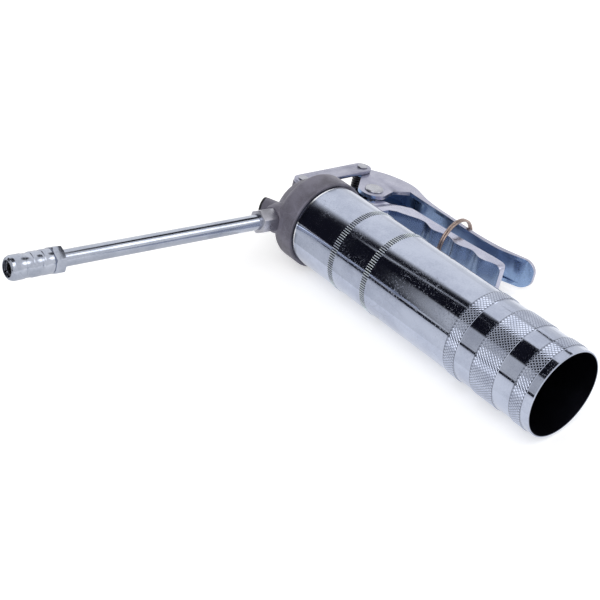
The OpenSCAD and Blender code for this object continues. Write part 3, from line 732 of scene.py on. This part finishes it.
def finished_copy(node, material, width, segments=2, angle=32.0):
    """A CAD node's shape with its edges rounded, standing for the node."""
    obj = picked_copy(node)
    round_edges(obj, width, segments, angle)
    own_piece(node + "_finish", material, body_of_node(node), node)


def pick_vertices(obj, wanted):
    """Selects just the vertices that pass a test, in edit mode."""
    bpy.ops.mesh.select_all(action="DESELECT")
    shape = bmesh.from_edit_mesh(obj.data)
    for vertex in shape.verts:
        vertex.select_set(wanted(vertex))
    bmesh.update_edit_mesh(obj.data)


def knurled_band(name, middle, width, material, sizes):
    """A sleeve of small flat-topped diamonds over one of the barrel's raised bands."""
    rows = max(2, round(width / sizes.knurl_pitch))
    cells = sizes.knurl_cells

    def is_top(vertex):
        """Whether a vertex is a diamond's middle: every other crossing, but none on the band's ends."""
        row = round((vertex.co.x - (middle - width / 2)) / (width / rows))
        cell = round(math.atan2(vertex.co.z, vertex.co.y) / (2 * math.pi / cells))
        return 0 < row < rows and (row + cell) % 2 == 1

    pick_only()
    bpy.ops.mesh.primitive_cylinder_add(
        vertices=cells,
        radius=KNURL_ROOT,
        depth=width,
        end_fill_type="NOTHING",
        location=(middle, 0, 0),
        rotation=(0, math.pi / 2, 0),
    )
    obj = bpy.context.object
    bpy.ops.object.transform_apply(location=True, rotation=True, scale=True)
    bpy.ops.object.mode_set(mode="EDIT")
    bpy.ops.mesh.select_mode(type="EDGE")
    bpy.ops.mesh.select_all(action="DESELECT")
    shape = bmesh.from_edit_mesh(obj.data)
    for edge in shape.edges:
        along = edge.verts[0].co - edge.verts[1].co
        edge.select_set(abs(along.x) > width / 2)
    bmesh.update_edit_mesh(obj.data)
    bpy.ops.mesh.subdivide(number_cuts=rows - 1)
    bpy.ops.mesh.select_mode(type="VERT")
    pick_vertices(obj, lambda vertex: not is_top(vertex))
    bpy.ops.mesh.vert_connect()
    pick_vertices(obj, is_top)
    grow = 1 + sizes.knurl_height / (1 - KNURL_FLAT) / KNURL_ROOT
    bpy.ops.transform.resize(value=(1.0, grow, grow), center_override=(middle, 0, 0))
    bpy.ops.mesh.bevel(offset_type="PERCENT", offset_pct=100 * KNURL_FLAT, affect="VERTICES")
    bpy.ops.mesh.select_all(action="DESELECT")
    bpy.ops.object.mode_set(mode="OBJECT")
    into_row(obj)
    own_piece(name, material, "root")


def tick_ring(name, start, material, sizes):
    """A ring of short rolled ticks round the barrel: one is modelled and then spun round."""
    pick_only()
    bpy.ops.mesh.primitive_cube_add(size=1, location=(start + sizes.tick_length / 2, BARREL_RADIUS, 0))
    obj = bpy.context.object
    obj.scale = (sizes.tick_length, sizes.tick_height * 2, sizes.tick_width)
    bpy.ops.object.transform_apply(location=True, rotation=True, scale=True)
    bpy.ops.object.mode_set(mode="EDIT")
    bpy.ops.mesh.select_all(action="SELECT")
    bpy.ops.mesh.bevel(offset=sizes.tick_height * 0.9, segments=3, affect="EDGES", clamp_overlap=True)
    bpy.ops.mesh.select_all(action="SELECT")
    bpy.ops.mesh.spin(
        steps=sizes.tick_count,
        dupli=True,
        angle=2 * math.pi,
        center=(0, 0, 0),
        axis=(1, 0, 0),
        use_auto_merge=False,
    )
    bpy.ops.mesh.select_all(action="SELECT")
    bpy.ops.mesh.remove_doubles(threshold=0.00001)
    bpy.ops.mesh.select_all(action="DESELECT")
    bpy.ops.object.mode_set(mode="OBJECT")
    into_row(obj)
    own_piece(name, material, "root")


def wire_piece(name, points, radius, material, body, node):
    """A smooth round wire along points in the gun's axes, made from a curve."""
    pick_only()
    bpy.ops.curve.primitive_bezier_curve_add()
    obj = bpy.context.object
    obj.matrix_world = Matrix.Identity(4)
    curve = obj.data
    curve.splines.clear()
    spline = curve.splines.new("POLY")
    spline.points.add(len(points) - 1)
    for point, where in zip(spline.points, points):
        point.co = (where[0], where[1], where[2], 1.0)
    curve.dimensions = "3D"
    curve.bevel_depth = radius
    curve.bevel_resolution = 4
    curve.use_fill_caps = True
    bpy.ops.object.convert(target="MESH")
    obj = bpy.context.object
    bpy.ops.object.shade_smooth_by_angle(angle=math.radians(45))
    into_row(obj)
    own_piece(name, material, body, node)


# Operators, one for each group of pieces


class PieceOperator(bpy.types.Operator):
    """Common part of the piece builders."""

    bl_options = {"REGISTER", "UNDO"}

    def settings(self, context):
        """The size and the colour settings."""
        return context.scene.gun_sizes, context.scene.gun_colours


class GUN_OT_barrel(PieceOperator):
    """Dresses the barrel and adds its knurled bands and rings of ticks"""

    bl_idname = "gun.barrel"
    bl_label = "Barrel"

    def execute(self, context):
        sizes, colours = self.settings(context)
        dress("barrel_tube", barrel_plate(colours, sizes))
        knurl = metal(
            "Knurled plate",
            colours.zinc,
            colours.zinc_shade,
            (0.1, 0.16),
            patch=90.0,
            scuffs=0.15,
            # The knurl's grooves get painted shade below these radii
            groove_shade_radii=(KNURL_ROOT + 0.00002, KNURL_ROOT + 0.00012),
        )
        for name, middle, width in KNURLED_BANDS:
            knurled_band(name, middle, width, knurl, sizes)
        # The ticks are painted much paler than the plate: a painted highlight
        tick_highlight = shade(colours.zinc, 1.9)
        ticks = metal("Rolled ticks, painted highlight", tick_highlight, colours.zinc, (0.35, 0.45), patch=120.0, scuffs=0.1)
        for name, start in TICK_RINGS:
            tick_ring(name, start, ticks, sizes)
        return {"FINISHED"}


class GUN_OT_head(PieceOperator):
    """Dresses the head casting, the vent plug and the gasket"""

    bl_idname = "gun.head"
    bl_label = "Head"

    def execute(self, context):
        sizes, colours = self.settings(context)
        finished_copy("head_casting", casting_skin(colours), sizes.cast_radius, angle=35.0)
        black = metal("Blackened plug", colours.black_steel, shade(colours.black_steel, 2.2), (0.35, 0.5))
        finished_copy("vent_plug", black, sizes.turned_radius)
        dress("cartridge_gasket", rubber_skin(colours))
        return {"FINISHED"}


class GUN_OT_pump(PieceOperator):
    """Dresses the plunger, its gland and its seal"""

    bl_idname = "gun.pump"
    bl_label = "Pump"

    def execute(self, context):
        sizes, colours = self.settings(context)
        ground = metal(
            "Ground plunger",
            colours.ground,
            shade(colours.ground, 0.8),
            (0.16, 0.26),
            along=ALONG_PLUNGER,
        )
        dress("plunger", ground)
        gland = metal("Gland", shade(colours.nut, 0.8), shade(colours.nut, 0.6), (0.26, 0.4))
        finished_copy("plunger_gland", gland, sizes.turned_radius)
        dress("plunger_seal", bpy.data.materials["Black rubber"])
        return {"FINISHED"}


class GUN_OT_outlet(PieceOperator):
    """Dresses the outlet valve, the locknut and the delivery pipe"""

    bl_idname = "gun.outlet"
    bl_label = "Outlet and pipe"

    def execute(self, context):
        sizes, colours = self.settings(context)
        ball = metal("Ball steel", colours.ground, shade(colours.ground, 0.85), (0.06, 0.12))
        dress("outlet_valve_ball", ball)
        dress("outlet_valve_spring", ball)
        nut = metal("Zinc nut", colours.nut, shade(colours.nut, 0.72), (0.24, 0.38), patch=110.0)
        finished_copy("pipe_locknut", nut, sizes.turned_radius)
        pipe = metal(
            "Bright pipe",
            colours.bright,
            colours.bright_shade,
            (0.1, 0.18),
            patch=40.0,
            along=(1500.0, 40.0, 1500.0),
            scuffs=0.2,
        )
        dress("delivery_pipe", pipe)
        return {"FINISHED"}


class GUN_OT_coupler(PieceOperator):
    """Dresses the nipple coupler"""

    bl_idname = "gun.coupler"
    bl_label = "Coupler"

    def execute(self, context):
        sizes, colours = self.settings(context)
        turned = metal(
            "Turned coupler",
            colours.bright,
            colours.bright_shade,
            (0.14, 0.24),
            patch=80.0,
            along=(400.0, 2500.0, 400.0),
        )
        finished_copy("coupler_base", turned, sizes.turned_radius)
        finished_copy("coupler_sleeve", turned, sizes.turned_radius * 0.5)
        jaws = metal(
            "Hardened jaws", shade(colours.ground, 0.45), shade(colours.ground, 0.3), (0.3, 0.45)
        )
        dress("coupler_jaws", jaws)
        dress("coupler_seal", bpy.data.materials["Black rubber"])
        dress("coupler_spring", jaws)
        return {"FINISHED"}


class GUN_OT_lever(PieceOperator):
    """Makes the pressed lever with its rounded bends, and its pin and clip"""

    bl_idname = "gun.lever"
    bl_label = "Lever"

    def execute(self, context):
        sizes, colours = self.settings(context)
        sheet = metal(
            "Lever plate",
            colours.sheet,
            colours.sheet_shade,
            (0.24, 0.36),
            patch=45.0,
            web=colours.lever_web_reflection,
        )
        lever = picked_copy("lever")
        bend_edges(lever, sizes.bend_radius, outward=1.0)
        round_edges(lever, sizes.rim_radius)
        mark_web(lever)
        own_piece("lever_finish", sheet, "lever", "lever")
        pin = metal("Pin steel", colours.ground, shade(colours.ground, 0.78), (0.22, 0.34), patch=140.0)
        finished_copy("plunger_pin", pin, sizes.turned_radius)
        clip = metal("Spring clip", colours.black_steel, shade(colours.black_steel, 3), (0.3, 0.42))
        dress("plunger_pin_clip", clip)
        return {"FINISHED"}


class GUN_OT_links(PieceOperator):
    """Makes the two link plates and their rivets"""

    bl_idname = "gun.links"
    bl_label = "Links"

    def execute(self, context):
        sizes, colours = self.settings(context)
        plate = metal(
            "Link plate",
            shade(colours.sheet, 0.92),
            shade(colours.sheet_shade, 0.9),
            (0.3, 0.42),
            patch=70.0,
            along=ALONG_PLUNGER,
        )
        for node in ("link_plate_near", "link_plate_far"):
            finished_copy(node, plate, sizes.rim_radius)
        rivet = metal("Rivet steel", colours.ground, shade(colours.ground, 0.75), (0.28, 0.4), patch=160.0)
        for node in ("link_head_pin", "link_lever_pin"):
            finished_copy(node, rivet, sizes.turned_radius * 1.3, segments=3)
        return {"FINISHED"}


class GUN_OT_handle(PieceOperator):
    """Makes the pressed handle with its finger grooves, and its rivets"""

    bl_idname = "gun.handle"
    bl_label = "Fixed handle"

    def execute(self, context):
        sizes, colours = self.settings(context)
        sheet = metal(
            "Handle plate",
            colours.handle,
            colours.handle_shade,
            (0.18, 0.3),
            patch=50.0,
            web=colours.handle_web_reflection,
        )
        handle = picked_copy("fixed_handle")
        bend_edges(handle, sizes.bend_radius, outward=-1.0)
        round_edges(handle, sizes.rim_radius)
        mark_web(handle)
        own_piece("fixed_handle_finish", sheet, "root", "fixed_handle")
        finished_copy("handle_rivets", bpy.data.materials["Rivet steel"], sizes.turned_radius)
        return {"FINISHED"}


class GUN_OT_return_spring(PieceOperator):
    """Winds the lever's return spring from round wire"""

    bl_idname = "gun.return_spring"
    bl_label = "Return spring"

    def execute(self, context):
        sizes, colours = self.settings(context)
        gap, turns, steps = 0.00012, 5.4, 36
        pitch = 2 * sizes.spring_wire + gap
        coil = []
        for step in range(round(turns * steps) + 1):
            angle = math.radians(90 - 360 * step / steps)
            out = sizes.spring_coil * Vector((math.cos(angle), math.sin(angle), 0))
            coil.append(Vector(FRONT_PIN) + out + Vector((0, 0, pitch * turns / 2 - pitch * step / steps)))
        back = [
            coil[0] + Vector((0.0215, 0.0114, 0)),
            coil[0] + Vector((0.0135, 0.006, 0)),
            coil[0] + Vector((0.005, 0.0004, 0)),
            coil[0] + Vector((0.0025, 0.00008, 0)),
        ]
        foot = Vector((-0.0299, 0.02573, coil[-1].z))
        wire = metal(
            "Black wire", colours.black_steel, shade(colours.black_steel, 2.5), (0.25, 0.4), scuffs=0.2
        )
        points = back + coil + [foot]
        wire_piece("return_spring_wire", points, sizes.spring_wire, wire, "link", "return_spring")
        return {"FINISHED"}


class GUN_OT_lock_ring(PieceOperator):
    """Dresses the lock ring"""

    bl_idname = "gun.lock_ring"
    bl_label = "Lock ring"

    def execute(self, context):
        _, colours = self.settings(context)
        ring = metal(
            "Browned wire",
            colours.browned,
            shade(colours.browned, 0.6),
            (0.22, 0.36),
            patch=150.0,
            along=(800.0, 800.0, 800.0),
        )
        dress("lock_ring", ring)
        return {"FINISHED"}


def camera_at_photo():
    """The photograph's camera, worked out from the barrel's ellipses and edges."""
    eye = GUN @ Vector((0.54131, -0.56261, 0.37113))
    right = GUN.to_3x3() @ Vector((0.62392, 0.75727, 0.19303))
    up = GUN.to_3x3() @ Vector((-0.48537, 0.18192, 0.85517))
    data = bpy.data.cameras.new("Photo camera")
    data.sensor_fit = "HORIZONTAL"
    data.sensor_width = SENSOR_WIDTH
    data.lens = SENSOR_WIDTH * PHOTO_FOCAL / PHOTO_SIZE
    data.clip_start, data.clip_end = 0.01, 50.0
    camera = bpy.data.objects.new("Photo camera", data)
    bpy.context.scene.collection.objects.link(camera)
    back = right.cross(up)
    turn = Matrix((right, up, back)).transposed().to_4x4()
    camera.matrix_world = Matrix.Translation(eye) @ turn
    bpy.context.scene.camera = camera


def soft_lamp(name, place, aim, size, power):
    """A large square lamp in the row frame."""
    data = bpy.data.lights.new(name, "AREA")
    data.shape = "SQUARE"
    data.size = size
    data.energy = power
    lamp = bpy.data.objects.new(name, data)
    bpy.context.scene.collection.objects.link(lamp)
    lamp.location = place
    lamp.rotation_mode = "QUATERNION"
    lamp.rotation_quaternion = (Vector(aim) - Vector(place)).to_track_quat("-Z", "Y")


def mirror_card(name, corners, rgb):
    """A card beside the set that only mirrors see, as a studio hangs one to give metal its dark lines.

    Returns its node tree, the share of its width and of its height at a point, and its Alpha socket.
    """
    pick_only()
    bpy.ops.mesh.primitive_plane_add(size=1)
    card = bpy.context.object
    card.name = name
    for vertex, corner in zip(card.data.vertices, corners):
        vertex.co = GUN @ Vector(corner)
    material, tree, shader = new_material(name)
    shader.inputs["Base Color"].default_value = opaque(rgb)
    shader.inputs["Roughness"].default_value = 1.0
    shader.inputs["Specular IOR Level"].default_value = 0.0
    split = add_node(tree, "ShaderNodeSeparateXYZ")
    wire_up(tree, add_node(tree, "ShaderNodeTexCoord").outputs["UV"], split.inputs["Vector"])
    card.data.materials.append(material)
    card.visible_camera = False
    card.visible_diffuse = False
    card.visible_shadow = False
    card.visible_transmission = False
    return tree, split.outputs["X"], split.outputs["Y"], shader.inputs["Alpha"]


def side_card():
    """The tall card on the left: it fades to the left, thins low on the right and has two slits."""
    tree, across, up, alpha = mirror_card(
        "Left card",
        [(-2.2, -0.8, -0.17), (0.1, -0.8, -0.17), (-2.2, -0.114, 1.678), (0.1, -0.114, 1.678)],
        (0.014, 0.014, 0.022),
    )
    solid = spread(tree, across, 0.52, 0.68, smooth=True)
    thin = maths(tree, "MULTIPLY", spread(tree, across, 0.79, 0.83), between(tree, up, 0.093, 0.314, 0.02))
    cover = maths(tree, "MULTIPLY", solid, spread(tree, thin, 0.0, 1.0, 1.0, 0.3))
    low_slit = between(tree, up, 0.054, 0.08, 0.006)
    lean = maths(tree, "SUBTRACT", across, maths(tree, "MULTIPLY", up, 0.109))
    tall_slit = maths(
        tree,
        "MULTIPLY",
        between(tree, lean, 0.668, 0.678, 0.003),
        between(tree, up, 0.455, 0.62, 0.01),
    )
    slits = maths(
        tree, "MAXIMUM", maths(tree, "MULTIPLY", low_slit, 0.7), maths(tree, "MULTIPLY", tall_slit, 0.8)
    )
    wire_up(tree, maths(tree, "MULTIPLY", cover, spread(tree, slits, 0.0, 1.0, 1.0, 0.0)), alpha)


def floor_card():
    """A thin grey-blue card just over the floor in front of the gun, which fades to the right."""
    tree, across, _, alpha = mirror_card(
        "Floor card",
        [(-1.2, -1.1, -0.2), (0.35, -1.1, -0.2), (-1.2, -0.04, -0.028), (0.35, -0.04, -0.028)],
        (0.05, 0.07, 0.12),
    )
    wire_up(tree, spread(tree, across, 0.55, 1.0, 0.5, 0.0, smooth=True), alpha)


def high_card():
    """A dark strip high up behind the gun, for the dark line along the pipe."""
    tree, across, _, alpha = mirror_card(
        "High card",
        [(-0.6, 0.8, 0.95), (0.12, 0.8, 0.95), (-0.6, 0.8, 1.8), (0.12, 0.8, 1.8)],
        (0.014, 0.016, 0.026),
    )
    wire_up(tree, between(tree, across, 0.1, 0.9, 0.1), alpha)


class GUN_OT_stage(PieceOperator):
    """Sets the floor, the studio light, the dark cards and the camera"""

    bl_idname = "gun.stage"
    bl_label = "Stage and camera"

    def execute(self, context):
        context.scene.view_settings.view_transform = "Standard"
        pick_only()
        bpy.ops.mesh.primitive_plane_add(size=12, location=(0, 0, -0.0002))
        floor = context.object
        floor.name = "floor"
        floor.data.materials.append(plain_stage("Floor white", (0.88, 0.88, 0.88), FLOOR_GLOW))
        world = bpy.data.worlds.new("Studio")
        context.scene.world = world
        world.use_nodes = True
        tree = world.node_tree
        sky = tree.nodes["Background"]
        sky.inputs["Color"].default_value = (1.0, 1.0, 1.0, 1.0)
        strength = spread(tree, seen_directly(tree), 0.0, 1.0, SKY_LIGHT, 1.0)
        wire_up(tree, strength, sky.inputs["Strength"])
        soft_lamp("Key light", (0.5, -0.9, 1.5), (0, 0, 0), size=1.3, power=10.0)
        soft_lamp("Pipe light", (0.62, 0.9, 0.86), (-0.1, -0.05, 0.03), size=0.45, power=1.2)
        soft_lamp("Fill light", (-1.2, 0.6, 1.3), (0, 0, 0), size=2.4, power=2.5)
        side_card()
        floor_card()
        high_card()
        camera_at_photo()
        return {"FINISHED"}


class GUN_PT_panel(bpy.types.Panel):
    """Lists the builders in the sidebar"""

    bl_label = "Grease gun"
    bl_idname = "GUN_PT_panel"
    bl_space_type = "VIEW_3D"
    bl_region_type = "UI"
    bl_category = "Grease gun"

    def draw(self, context):
        for step in STEPS:
            self.layout.operator(step.bl_idname)
        for group in (context.scene.gun_sizes, context.scene.gun_colours):
            box = self.layout.box()
            for name in group.__annotations__:
                box.prop(group, name)


STEPS = (
    GUN_OT_stage,
    GUN_OT_barrel,
    GUN_OT_head,
    GUN_OT_pump,
    GUN_OT_outlet,
    GUN_OT_coupler,
    GUN_OT_lever,
    GUN_OT_links,
    GUN_OT_handle,
    GUN_OT_return_spring,
    GUN_OT_lock_ring,
)
CLASSES = (GunSizes, GunColours, *STEPS, GUN_PT_panel)


def register():
    """Registers the add-on."""
    for cls in CLASSES:
        bpy.utils.register_class(cls)
    bpy.types.Scene.gun_sizes = bpy.props.PointerProperty(type=GunSizes)
    bpy.types.Scene.gun_colours = bpy.props.PointerProperty(type=GunColours)


def unregister():
    """Takes the add-on out again."""
    del bpy.types.Scene.gun_colours
    del bpy.types.Scene.gun_sizes
    for cls in reversed(CLASSES):
        bpy.utils.unregister_class(cls)


def main():
    """Builds everything in order."""
    register()
    for name, build in (
        ("Mottled skin", mottle_group),
        ("Drawn lines", drawn_group),
        ("Scuffs", scuff_group),
        ("Gun place", place_group),
        ("Barrel regions", barrel_group),
    ):
        GROUPS[name] = build()
    for step in STEPS:
        area, name = step.bl_idname.split(".")
        getattr(getattr(bpy.ops, area), name)()
    pick_only()


if __name__ == "__main__":
    main()
